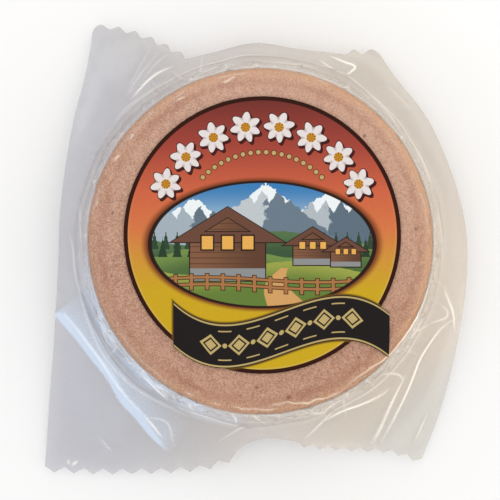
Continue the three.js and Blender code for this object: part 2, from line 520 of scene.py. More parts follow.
# Creases of the ears, in millimetres: the line they follow, their height, their half width, and how sharp
# their crest is, from 0 for a soft swell to 1 for a hard crease
# A crease's height and sharpness also set how bright the painted highlight on its crest is
CREASES = [
    ([(-39.6, -58.4), (-36.5, -62.5), (-33.4, -67)], 0.5, 0.9, 0.9),
    (
        [(66.6, -26), (61.5, -30), (57.4, -35.2), (54.3, -40.3), (51.9, -47), (49, -54), (41.8, -69)],
        1.7,
        1.5,
        0.9,
    ),
    ([(49.5, -45.5), (45.3, -54), (41.7, -62.5), (38.3, -69.5)], 1.3, 1.3, 0.9),
    ([(43.3, -59.4), (38.9, -69.5)], 0.7, 0.9, 0.9),
    ([(62.5, -15.7), (64.2, -19.8), (65.9, -24), (66.9, -31)], 1.0, 1.3, 0.8),
    ([(15.4, -67.3), (21.2, -61), (25.6, -56)], 0.9, 1.1, 0.55),
    ([(21.2, -61), (27.6, -57.5), (33, -55.6), (38, -53.6), (42.2, -51.4), (44.2, -49.7)], 1.0, 1.0, 0.9),
    ([(-43.6, 48.6), (-41.5, 51), (-38.6, 54.2), (-34.9, 57.3), (-29.8, 59.9)], 0.8, 0.9, 1.0),
    ([(-45.5, 49.5), (-40.2, 58), (-34.5, 65)], 0.6, 1.1, 0.35),
    ([(-45, 52), (-41, 60), (-37.5, 67)], 0.5, 1.1, 0.3),
    ([(-41, 53.5), (-35.5, 61), (-31.5, 64.5)], 0.5, 1.0, 0.3),
    ([(24, 63.7), (28.8, 61.5), (31.9, 60.4), (32.1, 58.9), (28, 55.6)], 1.0, 1.0, 0.9),
    ([(20.3, 62), (27, 56.3)], 0.5, 0.9, 0.8),
    ([(43.6, 53.7), (51, 46.3)], 0.5, 1.6, 0.3),
    ([(-14, -68.2), (-9.5, -65), (-5.4, -62.5), (0.7, -61.5)], 0.9, 1.2, 0.35),
    ([(-55, -67.5), (-51, -72.5)], 0.4, 1.0, 0.5),
    ([(57.7, -59.4), (53.3, -69.5)], 0.5, 1.0, 0.7),
    ([(-6.5, 61.5), (-20, 58)], 0.5, 0.9, 0.7),
]

# Steps where an ear folds down from a higher level on the left of a line: the line along the foot of the
# step, its height, how wide it is, and how far back the higher level reaches
STEPS = [
    (
        [
            (-70.9, -24.3),
            (-67.9, -28.1),
            (-63.1, -33.6),
            (-58.3, -39.8),
            (-52.8, -46.6),
            (-48, -54.9),
            (-43.2, -60.3),
            (-38.4, -66.5),
            (-34.3, -70.6),
            (-30.1, -74.1),
        ],
        2.4,
        4.4,
        18,
    ),
]

# Painted highlights along stretches of the film's rim, in degrees from +X: start, end, and how bright they
# are
RIM_GLINTS = [
    (-100, -84, 0.75),
    (-117, -113, 0.9),
    (-107, -103.5, 0.9),
    (-150, -122, 0.3),
    (160, 172, 0.35),
    (128, 146, 0.35),
    (116, 122, 0.5),
    (93, 106, 0.45),
    (66, 72, 0.5),
    (34, 42, 0.4),
    (2, 18, 0.4),
]
RIM_RADIUS = 53.5
RIM_WIDTH = 0.34
RIM_FADE = 2

# Painted highlights: fine bright lines of the film, seen from above, in millimetres, and how bright they are
FINE_LINES = [
    (
        [
            (-57, -12.7),
            (-54.6, -20.7),
            (-52.5, -25.4),
            (-49.7, -30.6),
            (-46.1, -36.4),
            (-40.2, -42),
            (-33.3, -47.3),
        ],
        0.5,
    ),
    ([(-56, -23.4), (-52, -30), (-47.3, -36.7)], 0.35),
    ([(-54, -25.4), (-52.3, -32.7), (-49.3, -36)], 0.3),
    ([(-40.7, -43.3), (-36, -48.7), (-31.3, -53.3)], 0.7),
    ([(-38, -44), (-34, -48), (-31, -53.3)], 0.4),
    ([(-29.7, -49.3), (-28.7, -53.3)], 0.4),
    ([(-24, -52.7), (-23.4, -56.7)], 0.4),
    ([(-9, -55.3), (-8, -61.3)], 0.5),
    ([(-2.4, -55.5), (-0.4, -59.7), (1.4, -61.1)], 0.5),
    ([(13.9, -54.5), (15.6, -56.5), (19.8, -56.5)], 0.4),
    ([(9.6, -59.6), (15.2, -57.6), (20.8, -58), (23.8, -55.5), (28.9, -52), (33.6, -48.9)], 0.4),
    ([(48.2, -33), (51.9, -31), (54.9, -26)], 0.4),
    ([(42.2, -42), (44.2, -39.7), (46.2, -35.7)], 0.35),
    ([(-64.6, 3.2), (-63.3, -2.7), (-62.6, -11.1), (-60.6, -18.1)], 0.25),
    ([(-61.3, 13.9), (-60.6, 5.6), (-60, -6.1)], 0.25),
    ([(-49, 41.2), (-44.7, 45.9), (-39.3, 49.8), (-33.3, 53.8)], 0.25),
    ([(-21.4, 55.8), (-15.4, 58.5), (-6.4, 60)], 0.3),
    ([(0.6, 60.5), (13.3, 59.8), (19.2, 58.5)], 0.25),
    ([(37.2, 49.8), (42.5, 44.5), (47.2, 38.5)], 0.3),
    ([(51.5, 33.9), (55.9, 25.2), (58.5, 17.2)], 0.3),
    ([(59.8, 12.2), (61.5, 2.2), (61.5, -6.7)], 0.25),
    ([(2, -52.6), (8, -51.3), (13.5, -51.4), (18.9, -50.3), (24.9, -48.3), (27.5, -46.1)], 0.95),
    (
        [(26.5, -46.9), (30.1, -43.7), (37, -39.1), (41.2, -36.2), (46.9, -29.2), (52.1, -20.3), (54.2, -14)],
        1.0,
    ),
    ([(41.4, -44.9), (45, -44.6), (47.9, -45.7), (48.9, -48.1)], 0.5),
    ([(61.7, -21.2), (64, -23.7), (63.4, -26), (57.8, -27.6)], 0.5),
    ([(50.8, -25), (52.2, -30.1), (57.8, -27.6)], 0.35),
    ([(-12, 50.7), (-10.3, 51.3), (-8.5, 52)], 0.9),
    ([(-26.9, 44.7), (-23.7, 45.9)], 0.9),
    ([(-36, 39.9), (-34.5, 41.2)], 0.6),
    ([(-41.9, 32.3), (-40, 34.5)], 0.9),
    ([(-46.3, 25.9), (-45.1, 27.5)], 0.9),
    ([(-52.2, 12), (-51.4, 13.4)], 0.9),
    ([(-57.3, 1.8), (-55.7, 1.8)], 0.7),
    (
        [
            (-67.5, -23.5),
            (-63.6, -27.6),
            (-58.6, -34.2),
            (-54.2, -39.9),
            (-48.6, -48.5),
            (-42.4, -55.5),
            (-36.5, -61.5),
        ],
        0.3,
    ),
    ([(-38.6, -59.5), (-31.5, -61.7), (-29.6, -70.5)], 0.3),
    ([(-66.4, -75.2), (-66, -76.8)], 0.7),
    ([(-65, -77.4), (-63, -75.6)], 0.9),
    (
        [
            (-60.7, -19),
            (-58.3, -26.5),
            (-54.2, -36),
            (-48.8, -43.4),
            (-42.7, -48.8),
            (-36.6, -52.9),
            (-24.1, -59.4),
        ],
        0.25,
    ),
]
LINE_WIDTH = 0.38
LINE_STRAY = 0.5
CREST_WIDTH = 0.36

# Angles: how far the film follows the shoulder, from where a bend of the cut edge counts as a corner and an
# edge of the solid as its rim, how far from a crease the meridians stay close, and how far teeth are smoothed
SHOULDER_ANGLE = math.radians(75)
CORNER_ANGLE = math.radians(35)
RIM_ANGLE = math.radians(70)
CREASE_MARGIN = math.radians(2)
TOOTH_SPREAD = math.radians(5)

# How many rings of points each stretch of the film has
FACE_RINGS = 5
SHOULDER_RINGS = 23
SKIRT_RINGS = 24
EAR_RINGS = 60
LOWER_EAR_RINGS = 6
LOWER_SKIRT_RINGS = 6

# How soon an ear falls off, how far out gathers reach, and how high the film puckers on the shoulder
EAR_FALL = 1.7
PLEAT_REACH = 24.0
PUCKER_HEIGHT = 0.28
PUCKER_SIZE = 2.1

# Radii in the film's pattern: where it leaves the rind, and of the circle along which it is crumpled
FILM_LEAVES = 54.8
ROLL_RADIUS = 60.0


def cut_edge(film):
    """The points of the pouch's cut edge, anticlockwise, from the sharp upper rim of its solid."""
    bm = bmesh.new()
    bm.from_mesh(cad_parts["pouch"].data)
    bmesh.ops.remove_doubles(bm, verts=bm.verts, dist=0.001 * MM)
    sharp = [edge for edge in bm.edges if edge.is_manifold and edge.calc_face_angle() > RIM_ANGLE]
    rim = {}
    for vertex in {vertex for edge in sharp for vertex in edge.verts}:
        if vertex.co.xy.length > 1.04 * film.weld_radius:
            key = (round(vertex.co.x, 6), round(vertex.co.y, 6))
            rim[key] = max(rim.get(key, 0), vertex.co.z)
    bm.free()
    points = [Vector((x, y, z)) / MM for (x, y), z in rim.items()]
    return sorted(points, key=lambda point: math.atan2(point.y, point.x))


def spokes(film):
    """The cut edge resampled closely: curved, but for the sharp teeth of its front end."""
    points = cut_edge(film)
    count = len(points)
    ahead = [(points[(i + 1) % count] - points[i]).xy for i in range(count)]
    turning = [abs(ahead[i - 1].angle_signed(ahead[i])) for i in range(count)]
    corner = [turning[i] > CORNER_ANGLE and points[i].y < 0 for i in range(count)]
    creased = np.array([math.atan2(y, x) for line, *_ in CREASES for x, y in smooth_line(line)])
    found = []
    for i in range(count):
        before, start, end, after = (points[(i + k) % count] for k in (-1, 0, 1, 2))
        middle = start + end
        fine = np.abs(creased - math.atan2(middle.y, middle.x)).min() < CREASE_MARGIN
        spacing = in_mm(film, "crease_spacing" if fine else "spacing")
        leave = (end - start) if corner[i] else (end - before) / 2
        arrive = (end - start) if corner[(i + 1) % count] else (after - start) / 2
        steps = max(1, round(ahead[i].length / spacing))
        for step in range(steps):
            t = step / steps
            curved = (2 * t**3 - 3 * t**2 + 1) * start + (t**3 - 2 * t**2 + t) * leave
            found.append(curved + (3 * t**2 - 2 * t**3) * end + (t**3 - t**2) * arrive)
    return np.array(found)


def bezier(points, steps):
    """Points of a curve with any number of control points, by repeated blending."""
    t = np.linspace(0, 1, steps)[:, None]
    rows = [np.tile(np.array(point, float), (steps, 1)) for point in points]
    while len(rows) > 1:
        rows = [a + (b - a) * t for a, b in zip(rows, rows[1:])]
    return rows[0]


def upper_profile(film, wheel):
    """Radius and height of the upper film from the middle of the face to the weld."""
    shoulder = in_mm(wheel, "shoulder")
    radius = BASE_RADIUS / MM
    height = PACK_HEIGHT / MM
    flat = radius - shoulder
    face = [(flat * ring / FACE_RINGS, height) for ring in range(FACE_RINGS)]
    bend = arc(flat, height - shoulder, shoulder, 0, SHOULDER_ANGLE, SHOULDER_RINGS - 1)
    weld = (in_mm(film, "weld_radius"), in_mm(film, "weld_height"))
    drop = in_mm(film, "skirt_drop")
    leave = (bend[-1][0] + drop * math.cos(SHOULDER_ANGLE), bend[-1][1] - drop * math.sin(SHOULDER_ANGLE))
    arrive = (weld[0] - in_mm(film, "skirt_flare"), weld[1])
    skirt = bezier([bend[-1], leave, arrive, weld], SKIRT_RINGS)
    return np.array(face + bend[:-1] + [tuple(point) for point in skirt])


def lower_profile(film):
    """Radius and height of the lower film from the weld to the base."""
    weld = (in_mm(film, "weld_radius"), in_mm(film, "weld_height") - in_mm(film, "ear_gap"))
    waist = (BASE_RADIUS / MM + in_mm(film, "base_bulge"), weld[1] / 2)
    return bezier([weld, waist, (BASE_RADIUS / MM, 0)], LOWER_SKIRT_RINGS)


def crest(distance, width, sharp):
    """The cross-section of a fold: 1 on its line and falling off sideways, round or creased."""
    soft = np.exp(-((distance / width) ** 2))
    round_off = 0.18 * width
    hard = np.exp(-(np.sqrt(distance**2 + round_off**2) - round_off) / (0.75 * width))
    return soft + (hard - soft) * sharp


def smooth_line(line, steps=6):
    """A line through points, curved between them."""
    points = np.array([line[0], *line, line[-1]], float)
    t = np.arange(steps)[:, None] / steps
    found = []
    for before, start, end, after in zip(points, points[1:], points[2:], points[3:]):
        bend = 2 * before - 5 * start + 4 * end - after
        swing = 3 * (start - end) + after - before
        found.append(start + 0.5 * t * ((end - before) + t * (bend + t * swing)))
    return np.concatenate([*found, points[-1:]])


def beside(x, y, line):
    """Distance of every point from a line, more than 0 on its left, and how far along the line it lies."""
    points = smooth_line(line)
    steps = np.diff(points, axis=0)
    sizes = np.linalg.norm(steps, axis=1)
    nearest = np.full(x.shape, np.inf)
    signed = np.zeros(x.shape)
    along = np.zeros(x.shape)
    run = 0.0
    for start, step, size in zip(points, steps, sizes):
        right, up = x - start[0], y - start[1]
        t = np.clip((right * step[0] + up * step[1]) / size**2, 0, 1)
        distance = np.hypot(right - t * step[0], up - t * step[1])
        closer = distance < nearest
        side = np.where(step[0] * up - step[1] * right < 0, -1.0, 1.0)
        nearest = np.where(closer, distance, nearest)
        signed = np.where(closer, distance * side, signed)
        along = np.where(closer, (run + t * size) / sizes.sum(), along)
        run += size
    return signed, along


def crease_height(x, y, line, height, width, sharp):
    """The height of one crease over every point, fading out towards both ends of its line."""
    distance, along = beside(x, y, line)
    fade = np.sqrt(np.sin(np.pi * np.clip(along, 0.02, 0.98)))
    return height * fade * crest(distance, width * (0.6 + 0.4 * fade), sharp)


def step_ends(along):
    """How wide a step still is towards the two ends of its line, from 0 to 1."""
    return np.clip(np.minimum(along / 0.05, (1 - along) / 0.3), 0.01, 1) ** 0.6


def step_height(x, y, line, height, width, reach):
    """The height of one step over every point: a steep strip along its line and a level that dies away."""
    distance, along = beside(x, y, line)
    fade = step_ends(along)
    strip = np.clip(distance / (width * fade), 0, 1)
    return height * fade * strip * np.clip(1 - (distance - width * fade) / reach, 0, 1)


def step_gleam(x, y, line, width, reach):
    """How much a step carries the painted reflection of the sky: 1 on the steep strip, and a share of that on
    the level behind it.
    """
    distance, along = beside(x, y, line)
    fade = step_ends(along)
    foot = np.clip(distance / 0.6, 0, 1)
    strip = foot * np.clip((width * fade - distance) / 1.2 + 0.5, 0, 1)
    behind = 0.6 * foot * np.clip(1 - (distance - width * fade) / (0.7 * reach), 0, 1)
    return np.maximum(strip, behind) * np.clip(3 * fade - 0.6, 0, 1)


def pleat_field(film, angles, at):
    """How far gathers lift the film off its smooth skirt, and how bright the painted highlights on their
    crests are.

    A station is 0 where the shoulder starts, 1 at the weld, and more than 1 out on an ear.
    """
    draw = random.Random(film.seed)
    radius = in_mm(film, "weld_radius")
    field = np.zeros((len(at), len(angles)))
    bright = np.zeros(field.shape)
    for pleat in range(film.pleats):
        angle = 2 * math.pi * (pleat + draw.uniform(-0.45, 0.45)) / max(1, film.pleats)
        height = in_mm(film, "pleat_height") * draw.uniform(0.25, 1.0) ** 1.5
        width = draw.uniform(0.6, 1.5)
        slant = draw.uniform(-9.0, 9.0)
        start = draw.uniform(0.15, 0.6)
        end = draw.uniform(0.85, 1.3)
        shine = 0.35 * draw.uniform(0.0, 1.0) ** 3
        shift = (at - (start + end) / 2) * slant
        around = (angles[None, :] - angle + math.pi) % (2 * math.pi) - math.pi
        rise = np.clip((at - start) / 0.25, 0, 1) * np.clip((end - at) / 0.3, 0, 1)
        distance = around * radius - shift
        field += height * rise * crest(distance, width * (0.5 + 0.5 * rise), 0.85)
        bright = np.maximum(bright, shine * rise * crest(distance, LINE_WIDTH, 0.0))
    return field, bright


def slow_around(values, angles):
    """Values round the cut edge with their teeth smoothed away."""
    gaps = (angles[:, None] - angles + math.pi) % (2 * math.pi) - math.pi
    shares = np.abs((np.roll(angles, -1) - np.roll(angles, 1) + math.pi) % (2 * math.pi) - math.pi)
    weights = np.exp(-((gaps / TOOTH_SPREAD) ** 2)) * shares
    return weights @ values / weights.sum(axis=1)


def ear_points(film, edge, angles, weld):
    """The films of the ears: they fall away from the weld and lie flatter towards the cut edge.

    The upper film has the creases, the lower one lies flat under it.
    """
    level = in_mm(film, "weld_height")
    rim = np.hypot(edge[:, 0], edge[:, 1])
    share = np.linspace(0, 1, EAR_RINGS + 1)[1:, None]
    radius = weld + (rim - weld) * share
    along = np.clip((radius - weld) / (slow_around(rim, angles) - weld), 0, 1)
    flat = level + (slow_around(edge[:, 2], angles) - level) * (1 - (1 - along) ** EAR_FALL)
    x, y = radius * np.cos(angles), radius * np.sin(angles)
    pleats, glint = pleat_field(film, angles, 1 + (radius - weld) / PLEAT_REACH)
    height = flat + pleats
    for line, tall, width, sharp in CREASES:
        height += crease_height(x, y, line, tall, width, sharp)
        # Painted highlight along the crest of each crease
        bright = min(1.0, 0.3 + 0.7 * tall) * sharp
        glint = np.maximum(glint, crease_height(x, y, line, bright, CREST_WIDTH, 0.0))
    glint = np.maximum(glint, line_glint(x, y))
    height += sum(step_height(x, y, *step) for step in STEPS)
    gleam = sum(step_gleam(x, y, line, width, reach) for line, _, width, reach in STEPS)
    upper = np.stack([x, y, height, glint, gleam], axis=2)
    rows = np.linspace(EAR_RINGS - 1, 0, LOWER_EAR_RINGS + 1).round().astype(int)[1:]
    lower = np.stack([x, y, flat - in_mm(film, "ear_gap"), 0 * x, 0 * x], axis=2)[rows]
    return np.concatenate([upper, lower])


def weld_wobble(angle):
    """How far the weld strays outwards at an angle."""
    around = Vector((math.cos(angle), math.sin(angle), 2))
    return 1.1 * noise.noise(around * 2.3) + 0.6 * noise.noise(around * 6.1)


def weld_glint(angle):
    """How bright the painted highlight along the weld is at an angle."""
    around = Vector((math.cos(angle), math.sin(angle), 7))
    return 0.35 * max(0.0, min(1.0, 0.4 + 1.6 * noise.noise(around * 1.9)))


def line_glint(x, y):
    """How bright the painted highlights of the film's fine lines are over every point."""
    stray = LINE_STRAY * np.sin(0.9 * x + 0.6 * y) * np.sin(0.5 * x - 1.1 * y)
    stray *= np.clip(RIM_RADIUS + 3 - np.hypot(x, y), 0, 1)
    x, y = x + stray, y + stray
    lines = [crease_height(x, y, line, bright, LINE_WIDTH, 0.0) for line, bright in FINE_LINES]
    return np.max(lines, axis=0)


def rim_glint(angles, radius):
    """How bright the painted highlight on the crest along the film's rim is, for every station and meridian.
    """
    stray = np.array([noise.noise(Vector((math.cos(a) * 9, math.sin(a) * 9, 3))) for a in angles])
    broken = np.array([noise.noise(Vector((math.cos(a) * 30, math.sin(a) * 30, 8))) for a in angles])
    turn = np.degrees(angles)
    strength = np.zeros(len(angles))
    for start, end, bright in RIM_GLINTS:
        inside = np.clip((turn - start) / RIM_FADE, 0, 1) * np.clip((end - turn) / RIM_FADE, 0, 1)
        strength = np.maximum(strength, bright * inside)
    strength *= np.clip(1.0 + broken, 0, 1)
    return strength * crest(radius - RIM_RADIUS - 1.1 * stray - 0.5 * broken, RIM_WIDTH, 0.0)


def film_points(film, wheel):
    """Every point of the pouch as an array of stations by meridians, from face to base.

    Each has its x, y and z, how much painted highlight it carries as a crest, and how much painted reflection
    of the sky it carries.
    """
    edge = spokes(film)
    angles = np.arctan2(edge[:, 1], edge[:, 0])
    across, up = np.cos(angles), np.sin(angles)
    wobble = in_mm(wheel, "wobble") * np.array([rim_wobble(angle) for angle in angles])

    profile = upper_profile(film, wheel)
    slope = np.gradient(profile, axis=0)
    normal = np.stack([-slope[:, 1], slope[:, 0]], axis=1)
    normal /= np.linalg.norm(normal, axis=1)[:, None]
    stations = (np.arange(len(profile)) - FACE_RINGS) / (len(profile) - 1 - FACE_RINGS)
    lift, glint = pleat_field(film, angles, stations[:, None])
    reach = (profile[:, 0] / (BASE_RADIUS / MM))[:, None] ** 4 * np.clip(1.6 - stations, 0, 1)[:, None]
    stray = np.array([weld_wobble(angle) for angle in angles])
    outwards = wobble * reach + stray * np.clip(stations, 0, 1)[:, None] ** 3
    radius = profile[:, :1] + lift * normal[:, :1] + outwards
    height = profile[:, 1:] + lift * normal[:, 1:]
    rim = rim_glint(angles, radius - outwards) * (stations[:, None] < 0.5)
    lines = line_glint(radius * across, radius * up)
    glint = np.max([glint, rim, lines], axis=0)
    glint[-1] = np.maximum(glint[-1], [weld_glint(angle) for angle in angles])
    upper = np.stack([radius * across, radius * up, height, glint, 0 * glint], axis=2)
    crinkle(upper, stations)

    ears = ear_points(film, edge, angles, profile[-1, 0] + outwards[-1])
    lower = lower_profile(film)
    radius = lower[:, :1] + stray * np.linspace(1, 0, len(lower))[:, None] ** 2
    under = np.zeros((len(lower) + 1, len(angles), 5))
    under[:-1, :, 0] = radius * across
    under[:-1, :, 1] = radius * up
    under[:-1, :, 2] = lower[:, 1:]
    return np.concatenate([upper, ears, under])


def crinkle(upper, stations):
    """Small puckers where the film is stretched over the shoulder, and the slow swell of the face."""
    for ring, station in enumerate(stations):
        strength = PUCKER_HEIGHT * math.exp(-(((station - 0.22) / 0.2) ** 2))
        for spoke in range(upper.shape[1]):
            x, y, z = upper[ring, spoke, :3]
            pucker = 0.0
            if strength > 0.01:
                pucker = strength * max(0.0, noise.noise(Vector((x, y, z * 0.4)) / PUCKER_SIZE) - 0.1)
            upper[ring, spoke, 2] += pucker + face_swell(x, y, z)


def film_mesh(film, wheel):
    """A flat grid wrapped over the pouch: one side runs from face to base, the other around it."""
    points = film_points(film, wheel)
    rings, around = points.shape[:2]
    bm = bmesh.new()
    bmesh.ops.create_grid(bm, x_segments=rings - 1, y_segments=around, size=0.5)
    glint = bm.verts.layers.float.new("glint")
    gleam = bm.verts.layers.float.new("gleam")
    for vertex in bm.verts:
        ring = round((vertex.co.x + 0.5) * (rings - 1))
        spoke = round((vertex.co.y + 0.5) * around) % around
        vertex.co = points[ring, spoke, :3]
        vertex[glint], vertex[gleam] = points[ring, spoke, 3:]
    bmesh.ops.remove_doubles(bm, verts=bm.verts, dist=0.0005)
    bmesh.ops.recalc_face_normals(bm, faces=bm.faces)
    return bm


def film_crumple(place, x, y, across):
    """Facets of crumpled film: the distance to a facet's edge, and a painted brightness of its own for each
    facet, as if each caught the light in its own way.
    """
    # The place rolled out: along the weld, given by a direction as long as the weld's radius, and outwards
    along, sideways = x / across * ROLL_RADIUS, y / across * ROLL_RADIUS
    rolled = place.node("ShaderNodeCombineXYZ", None, {0: along, 1: sideways, 2: across})
    crumple = rolled.stretched((0.16, 0.16, 0.34))
    shade, _, _ = crumple.cells(1.0, output="Color").parts()
    return crumple.cells(1.0, "DISTANCE_TO_EDGE"), shade


def film_tone(film, x, y, skirt, near, shade):
    """The colour of the film's haze, with painted light and shade: cool light on the left and warm light on
    the right, painted light on the skirt, painted shade towards the upper right, and painted light at the
    lower right corner.
    """
    # Painted light: the haze turns from cool on the left to warm on the right
    rightwards = x.step(-66.0, 44.0)
    tone = rightwards.mix(linear(film.haze_in_cool_light), linear(film.haze_in_warm_light))
    # Painted light on the skirt, which lies in shade: paler nearer the rind and on the brighter facets
    pale = rightwards.mix(paint(187, 178, 176), paint(237, 226, 212))
    tone = (skirt * (0.22 + near * 0.3 + shade.step(0.35, 0.9) * 0.35)).mix(tone, pale)
    # Painted shade: the haze darker towards the upper right
    tone = ((x * 0.5 + y).step(25.0, 65.0) * 0.45).mix(tone, paint(190, 184, 176))
    # Painted light: the haze paler and cooler at the far lower right corner
    return ((x - y).step(96.0, 114.0) * 0.5).mix(tone, paint(210, 215, 215))


def film_material(film):
    """Clear film: nearly invisible where it lies on the rind, hazy grey where it stands free, with painted
    highlights on its crests and painted reflections of the sky, both glowing a little.
    """
    material, place = new_material("clear_film")
    x, y, z = place.parts()
    across = x.hypot(y)
    cloud = place.noise(0.05, 3.0, 0.5)
    fine = place.noise(0.6, 3.0, 0.6)
    emboss = place.cells(1.1)
    ripple = place.noise(0.12, 2.0, 0.5)
    glint = place.node("ShaderNodeAttribute", {"attribute_name": "glint"}, None, "Fac")
    gleam = place.node("ShaderNodeAttribute", {"attribute_name": "gleam"}, None, "Fac")

    # Where the film stands free of the rind, where it is crumpled, and where that is nearest to the rind
    free = across.step(FILM_LEAVES, 56.4)
    leaving = across.step(FILM_LEAVES, 56.0)
    skirt = leaving * across.step(64.5, 61.0)
    near = leaving * across.step(62.0, 58.5)
    frontwards = y.step(35.0, -35.0)
    facets, shade = film_crumple(place, x, y, across)
    level = gleam.step(0.05, 0.2) * gleam.step(0.9, 0.65)
    folds = skirt * facets.least(0.35) * (0.3 + frontwards * 0.6)
    height = folds + emboss * level * 0.03 + ripple * 0.25

    # The film's upright wall is hazy only where it is seen at a slant
    slant = place.node("ShaderNodeLayerWeight", None, {"Blend": 0.5}, "Facing").step(0.15, 0.6)
    wall = z.step(15.0, 20.0).most(z.step(12.2, 11.2) * across.step(63.0, 62.0))
    cover = slant.most(1 - wall)
    veil = skirt * cover

    # Painted highlights along the edges of the crumpled facets
    facet_edge_glints = skirt * facets.step(0.04, 0.0) * fine.step(0.46, 0.62) * (0.08 + frontwards * 0.12)
    shine = glint.most(facet_edge_glints)
    # Painted reflection of the sky: on the stepped strip and the level behind it, and on the lower left of
    # the skirt
    mirrored = gleam + level * (emboss.step(0.3, 0.15) * 0.3 - 0.05)
    sky = veil * ((x + y) / across).step(-0.95, -1.35)
    haze = 0.05 + free * (0.37 + cloud * 0.08 + fine * 0.04) * (0.4 + cover * 0.6)
    haze = haze + veil * 0.14 + near * cover * 0.24 + sky * 0.12 + mirrored * 0.36 + shine * 0.6

    # Painted reflection: some facets mirror the sky more than others
    lit = shade.step(0.3, 0.8)
    # Painted highlights: warm where the film lies on the rind, the glint colour where it stands free
    spark = free.mix(paint(255, 230, 202), linear(film.glint))
    tone = film_tone(film, x, y, skirt, near, shade)
    # Painted reflection of the sky in the gleam colour
    tone = mirrored.most(sky * (0.25 + lit * 0.4)).mix(tone, linear(film.gleam))
    tone = shine.mix(tone, spark)
    # Painted highlights and reflections also glow a little, as if the film were a lamp
    glow = (mirrored * 0.04 + sky * (0.02 + lit * 0.08)).mix((0.0, 0.0, 0.0, 1.0), linear(film.gleam))
    glow = (shine * 0.24).mix(glow, spark)
    film_shader = place.node(
        "ShaderNodeBsdfPrincipled",
        None,
        {
            "Base Color": tone,
            "Roughness": 0.1,
            "IOR": 2.0,
            "Emission Color": glow,
            "Emission Strength": 1.0,
            "Normal": bumps(height, 1.0, MM),
        },
    )
    clear = place.node("ShaderNodeBsdfTransparent", None, {"Color": (0.98, 0.98, 0.98, 1.0)})
    finish_material(place.node("ShaderNodeMixShader", None, {0: haze.least(1.0), 1: clear, 2: film_shader}))
    return material


# The label

# Read from the frame: the corners, the middle and the radius of the label, in millimetres
LABEL_LOW, LABEL_HIGH = (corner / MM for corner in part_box("label"))
LABEL_MIDDLE = (LABEL_LOW + LABEL_HIGH) / 2
LABEL_RADIUS = (LABEL_HIGH.x - LABEL_LOW.x) / 2
RING_WIDTH = 1.3

# The ribbon, measured from the label's middle
RIBBON_MIDDLE = (6.75, -30.7)
RIBBON_HEIGHT = 14.2
RIBBON_LEFT = -28.2
RIBBON_RIGHT = 40.4
RIBBON_CREST = (18.5, 4.5)

# The row of blossoms: the radius of its arc, its span, how many there are, their petals and half their width
GARLAND_ARC = 34.6
GARLAND_SPAN = math.radians(142)
BLOSSOMS = 8
PETALS = 7
PETAL_REACH = 4.9

# The arc of beads: its radius, the angle between two beads, and half its span
BEAD_ARC = 26.3
BEAD_PITCH = math.radians(5.4)
BEAD_SPAN = math.radians(48.6)

# The repeat of the ribbon's ornament, and the side of the grid that the label's mesh is cut into
LOZENGE_PITCH = 9.0
GRID_STEP = 1.6


def label_mesh(label, wheel):
    """A copy of the label's solid, cut into a close grid and laid on the film."""
    bm = bmesh.new()
    bm.from_mesh(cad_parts["label"].data)
    bmesh.ops.scale(bm, vec=(1 / MM, 1 / MM, 1 / MM), verts=bm.verts)
    bmesh.ops.remove_doubles(bm, verts=bm.verts, dist=0.0005)
    for axis in (Vector((1, 0, 0)), Vector((0, 1, 0))):
        start, end = LABEL_LOW.dot(axis), LABEL_HIGH.dot(axis)
        for line in range(1, int((end - start) / GRID_STEP)):
            geometry = bm.verts[:] + bm.edges[:] + bm.faces[:]
            bmesh.ops.bisect_plane(
                bm, geom=geometry, dist=0.0005, plane_co=axis * (start + line * GRID_STEP), plane_no=axis
            )
    thick = LABEL_HIGH.z - PACK_HEIGHT / MM
    shoulder = in_mm(wheel, "shoulder")
    flat = BASE_RADIUS / MM - shoulder
    for vertex in bm.verts:
        beyond = min(max(0.0, vertex.co.xy.length - flat), 0.99 * shoulder)
        surface = PACK_HEIGHT / MM - shoulder + math.sqrt(shoulder**2 - beyond**2)
        upper = (vertex.co.z - surface) / thick > 0.6
        lift = in_mm(label, "gap") + (in_mm(label, "thickness") if upper else 0.0)
        vertex.co.z = surface + lift + face_swell(vertex.co.x, vertex.co.y, surface)
    return bm


def oval(u, v, x, y, half_width, half_height):
    """Rough distance outside an oval."""
    return (((u - x) / half_width).hypot((v - y) / half_height) - 1) * half_height


def box(u, v, x, y, half_width, half_height):
    """Distance outside a rectangle."""
    return (abs(u - x) - half_width).most(abs(v - y) - half_height)


def repeat(number, pitch):
    """A number that runs from minus half a pitch to half a pitch, again and again."""
    return ((number / pitch).math("FRACT") - 0.5) * pitch


